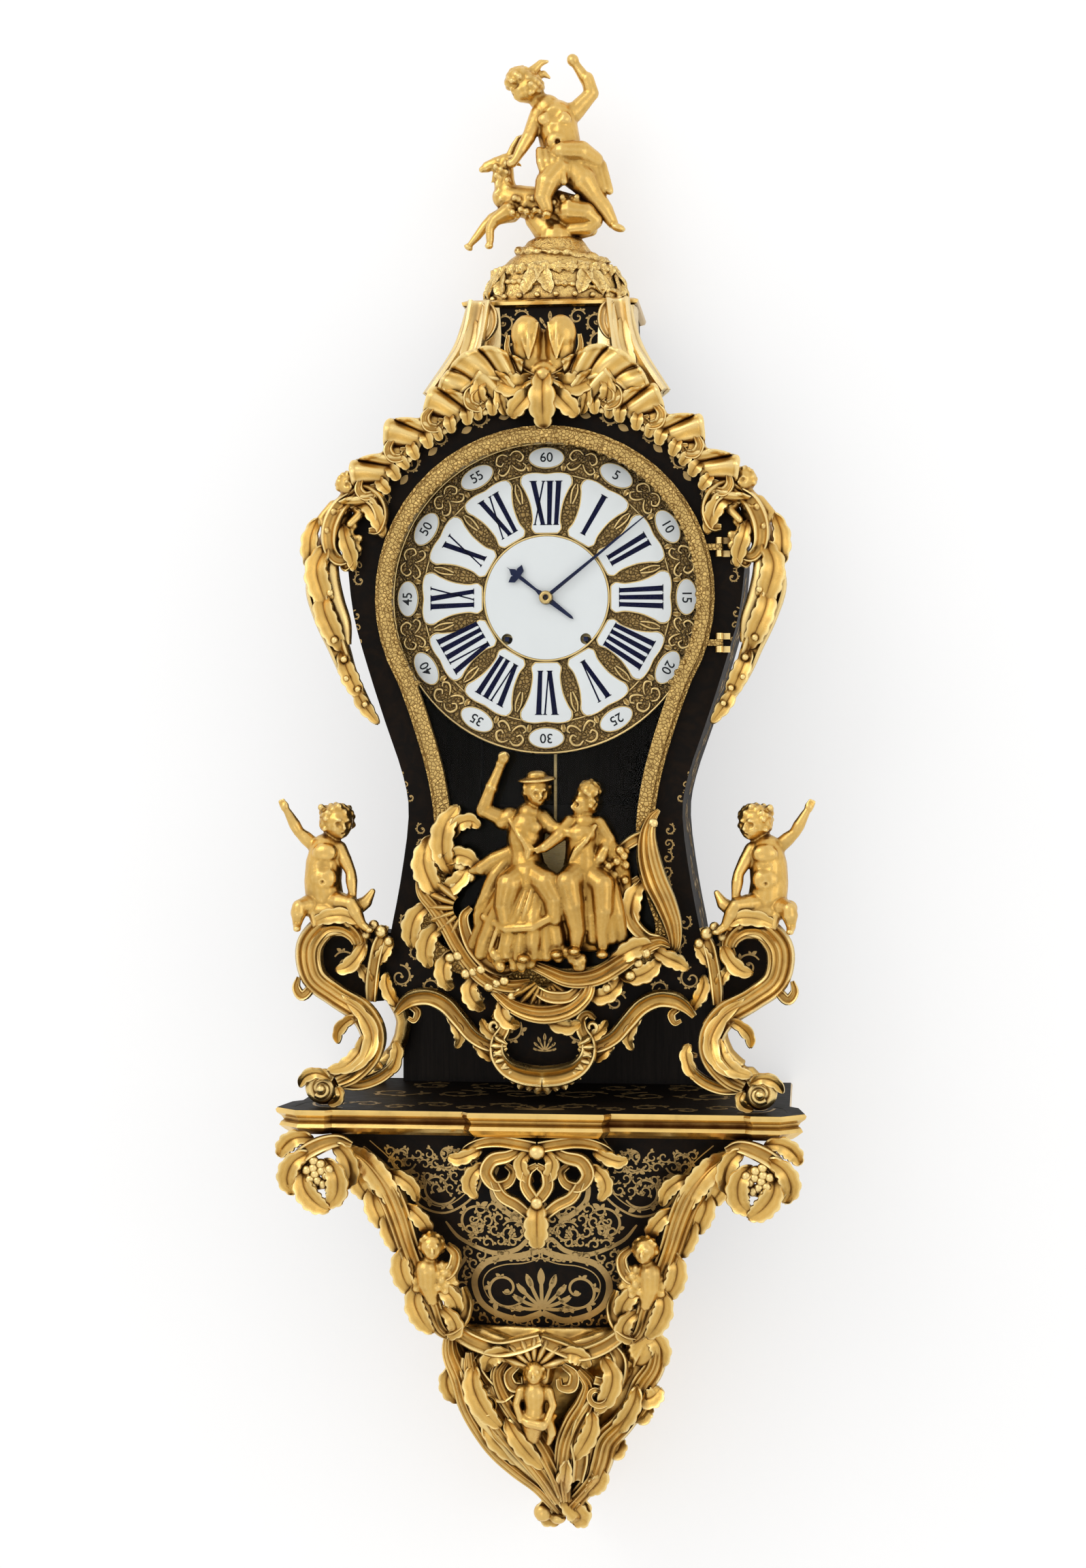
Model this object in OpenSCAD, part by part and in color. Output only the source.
// Spring-driven bracket clock with short pendulum, and the wall bracket that it stands on.
// Millimetres. +Z is up and -Y is the front. The origin lies midway between the two wall hooks,
// on the plane of the wall.

/* [Wall bracket] */
// Height of the shelf's upper face above the wall hooks
shelf_top = 40; // [36:1:60]
// Half of the shelf's width, to the tips of its corner blocks
shelf_half = 242; // [225:1:270]
// Depth of the shelf, from the wall to its front edge
shelf_depth = 256; // [250:1:280]
// Height of the gilt moulding round the shelf
moulding_h = 23; // [18:1:28]
// Height of the veneered core below the shelf
core_h = 186; // [170:1:205]
// Distance between the two wall hook holes
hook_spacing = 200; // [160:5:240]
// Radius of each wall hook hole
hook_hole_r = 5; // [3:0.5:7]
// Thickness of the steel hook plates
hook_plate_t = 3; // [2:0.5:5]

/* [Case] */
// Height of the dial centre above the shelf
dial_height = 470; // [462:1:480]
// Height of the case floor's underside above the shelf
floor_height = 96; // [94:1:100]
// Height of the waist above the shelf
waist_height = 265; // [258:1:272]
// Half width of the case at its foot
base_half = 150; // [147:1:154]
// Half width of the case at its waist
waist_half = 128; // [126:1:131]
// Half width of the case at its widest, level with the dial
case_half = 186; // [184:1:189]
// Depth of the case, without the door
case_depth = 166; // [162:1:176]
// Space between the wall and the back of the case
wall_gap = 14; // [12:1:20]
// Thickness of the curved sides
side_t = 12; // [9:1:14]
// Thickness of the front frame
front_t = 14; // [10:1:16]
// Thickness of the back frame
back_t = 12; // [8:1:14]
// Thickness of the floor board
floor_t = 12; // [10:1:14]
// Thickness of the board that carries the movement
seat_t = 12; // [10:1:14]
// Width of veneer left showing between the door and the case's edge at the waist
border_w = 26; // [24:1:28]

/* [Door] */
// Outer radius of the round part of the door
bezel_r = 158; // [156:1:160]
// Width of the door's gilt frame
bezel_w = 16; // [14:1:18]
// Thickness of the door's gilt frame
door_t = 14; // [12:1:16]
// Thickness of the glass
glass_t = 2.5; // [2:0.5:3]

/* [Dial] */
// Radius of the chased dial plate
dial_r = 146; // [144:1:150]
// Thickness of the dial plate
dial_t = 2.5; // [2:0.5:4]
// Radius of the enamel centre disc
centre_r = 57.5; // [56:0.5:58.5]
// Inner radius of the hour plaques
hour_in = 61; // [60:0.5:62]
// Outer radius of the hour plaques
hour_out = 116; // [110:1:117]
// Radius of the ring on which the minute plaques lie
minute_ring = 131; // [130:1:132]
// Sideways distance of each winding square from the centre
winding_x = 37; // [36.5:0.5:38]
// Drop of the winding squares below the centre
winding_drop = 38.5; // [38:0.5:39.5]
// Length of the hour hand
hour_hand_l = 47; // [40:1:52]
// Length of the minute hand
minute_hand_l = 119; // [100:1:124]

/* [Movement] */
// Half width of the movement plates
plate_half = 70; // [69:1:76]
// Thickness of the movement plates
plate_t = 3; // [2.5:0.5:4]
// Distance between the inner faces of the plates
plate_gap = 45; // [45:1:50]
// Gear module of the going and strike great wheels
great_module = 0.8; // [0.8:0.01:0.82]
// Distance from the pendulum's pivot down to the middle of its bob
pendulum_l = 300; // [240:5:310]
// Radius of the pendulum bob
bob_r = 27; // [20:1:32]
// Radius of the bell
bell_r = 40; // [34:1:42]

/* [Hidden] */

// Heights and depths that follow from the driving dimensions
dial_z = shelf_top + dial_height;
floor_z = shelf_top + floor_height;
waist_z = shelf_top + waist_height;
widest_z = dial_z + 35;
arch_r = case_half + 12;
case_back = -wall_gap;
case_front = -wall_gap - case_depth;
running = 0.05;
touch = 0.3;

function unit(v) = v / norm(v);
function mix(a, b, t) = a + (b - a) * t;
function total(v, i = 0, sum = 0) = i == len(v) ? sum : total(v, i + 1, sum + v[i]);
function middle(ring) = total(ring, 0, [0, 0, 0]) / len(ring);

// A smooth curve through a list of points of any dimension
function between(a, b, c, d, t) =
    (2 * b + (c - a) * t + (2 * a - 5 * b + 4 * c - d) * t * t + (3 * b - a - 3 * c + d) * t * t * t) / 2;
function smooth(p, steps = 3) = let (last = len(p) - 1) [
    for (i = [0:last - 1], s = [0:steps - 1])
        between(p[max(i - 1, 0)], p[i], p[i + 1], p[min(i + 2, last)], s / steps),
    p[last]];
function arc(centre, r, from, to, steps) =
    [for (i = [0:steps]) centre + r * [cos(mix(from, to, i / steps)), sin(mix(from, to, i / steps))]];

// A right half, given from bottom to top, closed with its mirror image
function both_halves(half) = concat(half,
    [for (i = [len(half) - 1:-1:0]) if (half[i].x > 0.01) [-half[i].x, half[i].y]]);

// An outline moved inwards by d
function inset(p, d) = [for (i = [0:len(p) - 1])
    let (u = unit(p[i] - p[(i + len(p) - 1) % len(p)]), v = unit(p[(i + 1) % len(p)] - p[i]),
        n = unit([-u.y - v.y, u.x + v.x]))
    p[i] + n * d / max(0.5, n * [-u.y, u.x])];

// A closed surface over rings that have equally many points
module skin(rings) {
    n = len(rings[0]);
    m = len(rings);
    points = concat([for (r = rings) each r], [middle(rings[0]), middle(rings[m - 1])]);
    walls = [for (i = [0:m - 2], j = [0:n - 1])
        let (a = i * n + j, b = i * n + (j + 1) % n) each [[a, b, a + n], [b, b + n, a + n]]];
    ends = [for (j = [0:n - 1])
        let (k = (j + 1) % n) each [[n * m, k, j], [n * m + 1, (m - 1) * n + j, (m - 1) * n + k]]];
    faces = concat(walls, ends);
    volume = total([for (f = faces) cross(points[f[0]], points[f[1]]) * points[f[2]]]);
    polyhedron(points, [for (f = faces) volume > 0 ? [f[2], f[1], f[0]] : f]);
}

// Rings of an oval bar along points [x, y, z, half width, half depth]. Its width lies in the
// plane that faces the front, and its depth along Y.
function bar_rings(path, sides) = [for (i = [0:len(path) - 1])
    let (a = path[max(i - 1, 0)], b = path[min(i + 1, len(path) - 1)],
        along = unit([b.x - a.x, b.y - a.y, b.z - a.z]),
        across = unit(cross(along, [0, 1, 0])), out = cross(across, along))
    [for (j = [0:sides - 1])
        [path[i].x, path[i].y, path[i].z] + across * cos(360 * j / sides) * path[i][3]
            + out * sin(360 * j / sides) * path[i][4]]];
module bar(points, steps = 2, sides = 6) skin(bar_rings(smooth(points, steps), sides));

// A limb or a muscle between two round ends
module limb(a, ra, b, rb) hull() {
    translate(a) sphere(ra, $fn = ra > 9 ? 8 : 6);
    translate(b) sphere(rb, $fn = rb > 9 ? 8 : 6);
}

// A flat piece that faces the front, from its back face at y = back
module slab(back, thick) translate([0, back, 0]) rotate([90, 0, 0]) linear_extrude(thick) children();
module rod(x, z, back, long, r)
    translate([x, back, z]) rotate([90, 0, 0]) cylinder(h = long, r = r, $fn = 48);
module on_side(side) mirror([side < 0 ? 1 : 0, 0, 0]) children();

// Everything below the shelf's upper face, cut away from the feet that stand on it
foot_clear = 0.2;
module below_shelf() translate([-400, -400, shelf_top - 60 + foot_clear]) cube([800, 400, 60]);

// Case outline: the right half from the foot to the top of the arch
case_turn = acos(case_half / arch_r);
case_right = concat(
    smooth([
        [base_half + 2, floor_z], [base_half - 4, floor_z + 54], [waist_half + 8, waist_z - 62],
        [waist_half, waist_z], [waist_half + 5, waist_z + 38],
        [mix(waist_half, case_half, 0.38), mix(waist_z, widest_z, 0.37)],
        [mix(waist_half, case_half, 0.66), mix(waist_z, widest_z, 0.58)],
        [mix(waist_half, case_half, 0.9), mix(waist_z, widest_z, 0.79)],
        [case_half, widest_z]], 3),
    arc([0, dial_z], arch_r, case_turn, 90, 12));
case_outline = both_halves(case_right);
case_void = inset(both_halves(concat([[case_right[0].x + 3, floor_z - side_t]], case_right)), side_t);
side_top_z = dial_z + arch_r * sin(case_turn);

// Door outline: the right half from the foot to the top of the ring
door_waist = waist_half - border_w;
door_foot = floor_z + 13;
door_right = concat(
    smooth([
        [0, door_foot], [42, door_foot + 2], [82, door_foot + 12], [112, door_foot + 32],
        [door_waist + 18, door_foot + 56], [door_waist + 11, door_foot + 82],
        [door_waist + 4, waist_z - 49], [door_waist, waist_z - 8], [door_waist + 7, waist_z + 40],
        [mix(door_waist, bezel_r, 0.4), mix(waist_z, dial_z, 0.45)],
        [bezel_r * cos(30), dial_z - bezel_r * sin(30)]], 3),
    arc([0, dial_z], bezel_r, -22, 90, 16));
door_outline = both_halves(door_right);

// Depths in and around the movement
door_gap = 0.6;
door_back = case_front - door_gap;
door_front = door_back - door_t;
dial_back = case_front + front_t + 5;
dial_front = dial_back - dial_t;
enamel_t = 2;
enamel_front = dial_front - enamel_t;
front_plate_back = dial_back + 18 + plate_t;
back_plate_back = front_plate_back + plate_gap + plate_t;
inner_front = front_plate_back;
inner_back = back_plate_back - plate_t;

// Shelf and core of the wall bracket

shelf_t = moulding_h - 5;
shelf_plan = both_halves([[0, -shelf_depth - 6], [62, -shelf_depth - 6], [68, -shelf_depth + 2],
    [shelf_half - 56, -shelf_depth + 2], [shelf_half - 50, -shelf_depth - 3],
    [shelf_half - 22, -shelf_depth - 3], [shelf_half, -shelf_depth + 18],
    [shelf_half - 6, -shelf_depth + 60], [shelf_half - 14, -shelf_depth + 70],
    [shelf_half - 14, -1]]);
board_inset = 16;

module shelf_board() color([0.10, 0.07, 0.05])
    translate([0, 0, shelf_top - shelf_t]) linear_extrude(shelf_t) board_plan();
module board_plan() {
    back_half = shelf_half - 14 - board_inset;
    polygon(inset(shelf_plan, board_inset));
    translate([-back_half, -shelf_depth / 2]) square([2 * back_half, shelf_depth / 2 - 1]);
}

// The moulding's section as [height above its foot, inset]: ovolo, hollow, bead and lip
moulding_section = [[-0.1, 12], [0, 12], [0.12, 8], [0.3, 3], [0.44, 4.5], [0.52, 7],
    [0.66, 5], [0.8, 1], [0.92, 0], [1, 1.5], [1.1, 1.5]];
module shelf_moulding() color([0.85, 0.62, 0.22]) difference() {
    skin([for (s = moulding_section)
        [for (p = inset(shelf_plan, s[1])) [p.x, p.y, shelf_top - moulding_h + s[0] * moulding_h]]]);
    translate([0, 0, shelf_top - moulding_h - 1]) linear_extrude(moulding_h + 2) board_plan();
    for (level = [shelf_top - moulding_h - 50, shelf_top])
        translate([-shelf_half, -shelf_depth - 20, level]) cube([2 * shelf_half, 400, 50]);
}

// The core's section at a height: half width and depth from the wall, as [height above foot, half, depth]
core_top = shelf_top - shelf_t;
core_foot = core_top - core_h;
core_levels = smooth([[1, 200, 222], [0.9, 186, 221], [0.78, 158, 219], [0.62, 132, 216],
    [0.45, 120, 213], [0.28, 108, 208], [0.12, 94, 200], [0, 84, 192]], 2);
function core_ring(half, depth) = both_halves([[0, -depth - 5], [half * 0.5, -depth - 3], [half, -depth + 6],
    [half * 0.93, 0]]);
module core_solid() skin([for (s = core_levels)
    [for (p = core_ring(s[1] * (shelf_half - 46) / 196, s[2] * (shelf_depth - 34) / 222))
        [p.x, p.y, core_foot + s[0] * core_h]]]);

hook_plate_w = 26;
hook_plate_h = 34;
module bracket_core() color([0.14, 0.11, 0.08]) difference() {
    union() {
        core_solid();
        foot_form(foot_wall);
    }
    for (side = [-1, 1]) {
        translate([side * hook_spacing / 2 - hook_plate_w / 2, -hook_plate_t, -hook_plate_h / 2])
            cube([hook_plate_w, hook_plate_t + 1, hook_plate_h]);
        rod(side * hook_spacing / 2, 0, 1, 15 + hook_plate_t, hook_hole_r + 3);
    }
}
module hook_plates() color([0.55, 0.55, 0.56]) for (side = [-1, 1]) difference() {
    translate([side * hook_spacing / 2 - hook_plate_w / 2, -hook_plate_t, -hook_plate_h / 2])
        cube([hook_plate_w, hook_plate_t, hook_plate_h]);
    rod(side * hook_spacing / 2, 0, 1, hook_plate_t + 2, hook_hole_r);
}

// Gilt mounts of the wall bracket
gilt = [0.86, 0.63, 0.22];
mount_foot = core_top - 3 - moulding_h + shelf_t;
core_front = -(shelf_depth - 34) - 5;

// A pierced mask of scrollwork that hangs from the shelf's breakfront
module pendant_mount() color(gilt) translate([0, core_front, shelf_top - moulding_h]) difference() {
    union() {
        for (side = [-1, 1]) on_side(side) {
            bar([[8, -9, -6, 3, 4], [30, -12, -4, 7, 8], [46, -14, -14, 6, 7], [34, -12, -34, 6, 7],
                [14, -9, -52, 5, 5]]);
            bar([[58, -12, -1, 3, 4], [70, -14, -8, 5, 6], [62, -12, -17, 4, 5], [46, -10, -24, 3, 4]]);
        }
        bar([[-26, -12, -3, 3, 7], [0, -16, -6, 6, 9], [26, -12, -3, 3, 7]]);
        bar([[0, -9, -38, 16, 6], [0, -10, -54, 12, 7], [0, -6, -74, 2, 3]]);
    }
    translate([-100, 0, -100]) cube([200, 40, 200]);
    translate([-100, -60, 0]) cube([200, 100, 50]);
}

// A leafy curl that hangs below the shelf's corner block
module bracket_corner(side) color(gilt) on_side(side)
    translate([shelf_half - 46, -shelf_depth + 34, shelf_top - moulding_h]) difference() {
        union() {
            bar([[-17, -22, -4, 4, 6], [-6, -24, -6, 8, 9], [6, -26, -12, 8, 9], [20, -24, -22, 7, 8],
                [24, -22, -38, 5, 6], [12, -20, -50, 2, 3]]);
            bar([[4, -24, 1, 6, 8], [16, -24, -4, 7, 8], [30, -22, -10, 4, 5], [37, -20, -8, 1.5, 2]]);
            limb([4, -26, -28], 14, [-8, -22, -36], 8);
            limb([12, -26, -36], 9, [2, -24, -50], 6);
            bar([[-22, -21, -24, 3, 4], [-12, -22, -31, 7, 7], [-4, -22, -44, 6, 6], [-14, -20, -54, 2, 3]]);
        }
        translate([-100, -60, 0]) cube([200, 100, 50]);
        translate([46 - shelf_half, shelf_depth - 34, moulding_h - shelf_top]) core_solid();
    }

// A long leaf scroll down the edge of the core, with a flowered bust half way
module bracket_side(side) color(gilt) on_side(side) difference() {
    translate([shelf_half - 46, core_front, core_top]) {
        bar([[-15, -2, -13, 4, 6], [-30, -4, -20, 11, 10], [-50, -5, -36, 14, 11], [-66, -4, -58, 13, 11],
            [-76, -2, -84, 12, 11], [-86, 0, -112, 13, 12], [-98, 4, -140, 12, 11],
            [-106, 8, -166, 11, 10], [-112, 12, -186, 8, 8]]);
        bar([[-40, -4, -18, 4, 4], [-60, -10, -40, 7, 6], [-72, -12, -62, 3, 4]]);
        limb([-94, -12, -97], 14, [-90, -10, -118], 14);
        limb([-100, -16, -88], 11, [-96, -12, -102], 9);
        limb([-84, -10, -122], 11, [-92, -6, -140], 8);
        bar([[-106, -6, -104, 3, 3], [-114, -8, -116, 7, 6], [-110, -6, -134, 8, 7], [-104, 2, -150, 4, 5]]);
        bar([[-72, -6, -92, 4, 4], [-66, -4, -108, 7, 7], [-72, 0, -130, 7, 7], [-86, 6, -152, 4, 5]]);
    }
    core_solid();
    translate([-300, -400, core_foot - 100]) cube([600, 500, 100]);
}

// The rocaille casting below the core: a twisted shell that ends in a leaf tip
// as [drop below the core, middle, half width, depth from the wall]
foot_levels = smooth([[0, 0, 87, 197], [24, 2, 87, 198], [46, 2, 84, 192], [70, 0, 75, 182],
    [96, -2, 60, 168], [122, 2, 46, 152], [146, 8, 31, 138], [168, 9, 20, 126], [188, 6, 14, 117],
    [200, 4, 7, 110]], 2);
foot_wall = 5;
module foot_form(wall) translate([0, 0, core_foot]) skin([for (s = foot_levels) if (s[2] > 2 * wall)
    [for (p = core_ring(s[2] - wall, s[3] - wall)) [s[1] + p.x, p.y, -s[0]]]]);
module bracket_foot_mount() color(gilt) difference() {
    foot_casting();
    foot_form(foot_wall);
    core_solid();
}
module foot_casting() translate([0, 0, core_foot]) union() {
    translate([0, 0, -core_foot]) foot_form(0);
    for (side = [-1, 1]) on_side(side)
        bar([[0, -206, -9, 6, 5], [26, -208, -16, 8, 7], [56, -204, -6, 7, 6], [74, -198, -9, 5, 5],
            [66, -194, -24, 4, 4]], 2);
    bar([[-84, -190, -14, 6, 8], [-80, -192, -44, 11, 10], [-70, -186, -78, 11, 11],
        [-52, -172, -112, 10, 11], [-24, -152, -144, 9, 11], [-2, -132, -172, 8, 10],
        [4, -114, -194, 6, 8]], 2);
    bar([[88, -178, -6, 5, 7], [92, -182, -30, 13, 12], [80, -180, -58, 13, 12],
        [58, -172, -84, 11, 11], [42, -160, -112, 11, 11], [38, -144, -140, 10, 10],
        [24, -130, -168, 8, 9], [8, -114, -194, 6, 7]], 2);
    bar([[6, -202, -18, 4, 6], [0, -204, -44, 12, 10], [-14, -192, -78, 10, 10], [4, -176, -106, 9, 10],
        [20, -156, -136, 7, 9]], 2);
}

// Case pieces

module strip(low, high) polygon([[-400, low], [400, low], [400, high], [-400, high]]);
module case_ring() difference() {
    polygon(case_outline);
    polygon(case_void);
}
veneer = [0.09, 0.06, 0.04];

// Swelling at a side's lower front corner, which fills the loop of the front leg's scroll
swell_depth = 46;
swell_setback = 2;
swell_edge = smooth([[-10, 0], [14, -4], [44, 8], [62, 26], [63, 50], [50, 66], [30, 66], [4, 62],
    [-10, 60]], 2);
module corner_swell() difference() {
    slab(case_front + swell_depth, swell_depth - swell_setback) difference() {
        polygon([for (p = swell_edge) [base_half + p.x, floor_z + p.y]]);
        polygon(case_void);
        square([base_half + 2, floor_z]);
    }
    slab(case_front + front_t, front_t) polygon(case_outline);
}

module case_side(side) color(veneer) on_side(side) {
    slab(case_back - back_t, case_depth - front_t - back_t) intersection() {
        case_ring();
        strip(floor_z, side_top_z);
        translate([0, -100]) square([400, 1200]);
    }
    corner_swell();
}
module case_arch() color(veneer) slab(case_back - back_t, case_depth - front_t - back_t) intersection() {
    case_ring();
    strip(side_top_z, dial_z + arch_r + 10);
}
module case_floor() color([0.3, 0.2, 0.12])
    slab(case_back - back_t, case_depth - front_t - back_t) intersection() {
    polygon(case_void);
    strip(floor_z, floor_z + floor_t);
}
rebate = 12;
module front_frame() color(veneer) slab(case_front + front_t, front_t) difference() {
    polygon(case_outline);
    polygon(inset(door_outline, rebate));
}

// Lower edge of the apron, from the middle out to the right
apron_edge = smooth([[0, -66], [24, -63], [40, -50], [55, -39], [73, -25], [88, -8], [100, 0]], 3);
module apron_board() color(veneer) slab(case_front + front_t, front_t)
    polygon([for (p = both_halves(apron_edge)) [p.x, p.y + floor_z]]);

back_open_r = 122;
module back_opening() {
    translate([0, dial_z]) circle(back_open_r, $fn = 64);
    translate([-80, waist_z + 10]) square([160, dial_z - waist_z - 10]);
}
module back_frame() color([0.28, 0.19, 0.12]) slab(case_back, back_t) difference() {
    union() {
        polygon(case_outline);
        translate([-base_half - skirt, shelf_top]) square([2 * (base_half + skirt), floor_height]);
    }
    back_opening();
}
skirt = 8;

seat_margin = 4;
module seat_board() color([0.3, 0.2, 0.12])
    slab(back_plate_back + seat_margin, plate_gap + 2 * (plate_t + seat_margin)) intersection() {
        polygon(case_void);
        strip(plate_foot - seat_t, plate_foot);
    }

// Pediment: a concave die on the arch, as [height above its foot, half width, front depth]
die_foot = dial_z + arch_r - 48;
die_h = 128;
die_levels = smooth([[0, 116, 164], [0.3, 101, 160], [0.45, 91, 152], [0.62, 83, 142], [0.8, 79, 135],
    [1, 78, 132]], 2);
module die_solid() skin([for (s = die_levels)
    [for (p = both_halves([[0, -s[2]], [s[1], -s[2]], [s[1], -26]]))
        [p.x, p.y, die_foot + s[0] * die_h]]]);
module arch_block() slab(0, 400) polygon(case_outline);
module pediment() color(veneer) difference() {
    die_solid();
    arch_block();
}
die_top = die_foot + die_h;
die_half = 78;
die_mid = -79;

// Moulded cap over the die
cap_levels = [[0, 79, 54], [2, 83, 58], [5, 84, 59], [7, 80, 55], [9, 72, 48]];
module cornice() color(gilt) skin([for (s = cap_levels)
    [for (q = [[-1, -1], [1, -1], [1, 1], [-1, 1]]) [q.x * s[1], die_mid + q.y * s[2], die_top + s[0]]]]);

// Domed casting of rockwork that carries the finial, as [height, half width, half depth]
dome_levels = [[0, 67, 44], [8, 69, 45], [20, 66, 43], [34, 58, 38], [46, 46, 32], [52, 37, 27], [58, 32, 24],
    [64, 28, 21], [68, 20, 16]];
dome_foot = die_top + 9;
dome_wall = 5;
module dome() color(gilt) difference() {
    dome_form(0, dome_levels);
    translate([0, 0, -0.01]) dome_form(dome_wall, [for (s = dome_levels) if (s[0] < 60) s]);
}
module dome_form(wall, levels) skin([for (s = levels)
    [for (a = [0:18:342]) [(s[1] - wall) * cos(a), die_mid + (s[2] - wall) * sin(a), dome_foot + s[0]]]]);

// Child with a goat on top of the dome
finial_foot = dome_foot + 68;
module finial_putto() color(gilt) translate([0, die_mid, finial_foot]) difference() {
    child_form();
    goat_body();
    translate([-60, -60, -60]) cube([120, 120, 60]);
}
module child_form() {
    limb([-26, -2, 145], 14, [-29, 0, 149], 13.5);
    limb([-44, 2, 156], 9, [-34, 3, 161], 9.5);
    limb([-16, 2, 168], 5, [-24, 3, 160], 8);
    limb([-22, 0, 134], 8, [-8, 0, 124], 8);
    limb([-13, 0, 118], 10, [17, 0, 120], 10);
    limb([1, 0, 112], 19, [2, 0, 96], 19);
    limb([2, 0, 96], 18.5, [10, 0, 68], 19);
    limb([20, 0, 122], 8.5, [36, 0, 140], 7);
    limb([36, 0, 140], 6.5, [16, 0, 168], 4.5);
    limb([16, 0, 168], 4.5, [10, 0, 176], 5.5);
    limb([-18, -6, 117], 8, [-26, -14, 88], 6.5);
    limb([-26, -14, 88], 6, [-38, -15, 71], 4.5);
    limb([14, 0, 62], 14, [37, -4, 38], 10);
    limb([37, -4, 38], 9, [58, -4, 9], 5);
    limb([29, 4, 76], 10, [16, 6, 60], 13);
    limb([4, -12, 62], 13, [-10, -20, 38], 9);
}
module goat_body() {
    limb([-48, 0, 42], 12, [-16, 0, 34], 16);
    limb([-16, 0, 34], 16, [20, 0, 24], 17);
    limb([-48, 0, 46], 10, [-50, 0, 67], 8.5);
}
module finial_goat() color(gilt) translate([0, die_mid, finial_foot]) difference() {
    union() {
        goat_body();
        difference() {
            goat_limbs();
            child_form();
        }
    }
    translate([-44, -44, -60]) cube([88, 88, 60]);
}
module goat_limbs() {
    limb([-50, 0, 74], 9.5, [-66, 0, 72], 5.5);
    limb([-46, -5, 79], 4, [-36, -9, 97], 2.5);
    limb([-44, 5, 79], 4, [-33, 9, 93], 2.5);
    limb([-40, 5, 24], 9, [-68, 5, 15], 5.5);
    limb([-68, 5, 15], 5, [-83, 5, -4], 4);
    limb([-40, -7, 24], 9, [-60, -9, 13], 5.5);
    limb([-60, -9, 13], 5, [-63, -9, -9], 4);
    limb([22, -2, 19], 15, [37, -2, 17], 10);
    limb([26, -4, 8], 9, [2, -4, 4], 8);
    limb([-8, 0, 24], 9, [-2, 0, 0], 15);
}

// Chased strips over the front corners of the die
module pediment_corners() color(gilt) difference() {
    for (side = [-1, 1]) on_side(side) skin([for (s = die_levels) if (s[0] > 0.2)
        [for (q = [[-30, 8], [-30, -3], [-15, -6], [2, -5], [4, 10], [4, 26]])
            [s[1] + q.x * (q.x < 0 ? 1.5 - s[0] / 2 : 1), -s[2] + q.y, die_foot + s[0] * die_h]]]);
    die_solid();
    arch_block();
    translate([-200, -300, die_top]) cube([400, 400, 100]);
}

// Two-lobed shell with a hanging leaf, at the top of the arch
module crest_shell() color(gilt) translate([0, case_front + 14, dial_z + arch_r]) difference() {
    union() {
        for (side = [-1, 1]) on_side(side) {
            bar([[9, 4, -8, 8, 9], [13, -2, 16, 12, 11], [12, 0, 36, 11, 10], [8, 6, 52, 5, 6]]);
            bar([[4, -8, -12, 5, 6], [26, -12, -8, 10, 8], [46, -12, 0, 9, 8], [56, -8, -8, 4, 4]]);
        }
        bar([[0, -8, 20, 8, 8], [0, -12, 2, 17, 10], [0, -16, -14, 18, 9], [0, -14, -26, 10, 7],
            [0, -12, -34, 3, 3]]);
    }
    translate([0, -case_front - 14, -dial_z - arch_r]) for (side = [-1, 1]) on_side(side) fold(0);
    translate([0, -case_front - 14, -dial_z - arch_r]) {
        die_solid();
        slab(0, -case_front) polygon(case_outline);
    }
}

// Folded ribbon of shellwork along each side of the arch: overlapping folds, and a curled end
fold_count = 4;
fold_path = [[-9, 6.2, -2, 3], [6, 5.2, -4, 7], [14, 0.6, -5, 9.5], [9, -4.4, -6, 10], [-5, -6, -5, 9],
    [-17, -3.6, -3, 4]];
module along_arch(points) translate([0, case_front, dial_z])
    bar([for (p = points) [(arch_r + p.x) * cos(p[1]), p[2], (arch_r + p.x) * sin(p[1]), p[3], p[4]]]);
module fold(i) let (a = 75.5 - 13.5 * i, k = 1 - 0.04 * i)
    along_arch([for (q = fold_path) [q.x * k, a + q.y, q[2], q[3] * k, 9 * k]]);
module ruffle_end() along_arch([[6, 28, -1, 5, 6], [8, 22, -2, 8, 7], [3, 16, -2, 8, 7], [-4, 12, -2, 6, 6],
    [-10, 14, -2, 3, 4]]);
module arch_ruffles() color(gilt) for (side = [-1, 1]) on_side(side) difference() {
    union() {
        for (i = [0:fold_count - 1]) fold(i);
        ruffle_end();
    }
    slab(0, -case_front) polygon(case_outline);
    die_solid();
    hinge_clear();
}

// A winged term on the shoulder of the case: head, drapery and a tapering body of leaves
module shoulder(side) color(gilt) on_side(side) difference() {
    translate([case_half, case_front + 16, dial_z]) {
        limb([0, -6, 108], 9, [2, -4, 104], 9);
        limb([-2, -4, 116], 6, [6, -2, 114], 5);
        limb([4, -4, 92], 6, [10, -4, 70], 12);
        bar([[4, -14, 80, 5, 6], [-12, -20, 90, 8, 8], [-28, -22, 82, 7, 8], [-34, -20, 66, 3, 5]], 2);
        bar([[10, -4, 76, 12, 10], [22, -4, 50, 12, 11], [24, -4, 22, 11, 10], [18, -4, -8, 8, 9],
            [10, -4, -36, 10, 9], [-2, -4, -68, 9, 8], [-12, -4, -94, 7, 7], [-28, -4, -116, 3, 4]], 2);
        bar([[26, -6, 44, 3, 3], [31, -8, 28, 6, 6], [27, -6, 8, 4, 4]], 2);
        bar([[4, -8, -40, 3, 3], [12, -10, -52, 7, 6], [4, -8, -66, 3, 4]], 2);
    }
    slab(0, -case_front) polygon(case_outline);
    for (i = [fold_count - 2:fold_count - 1]) fold(i);
    ruffle_end();
}

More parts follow.
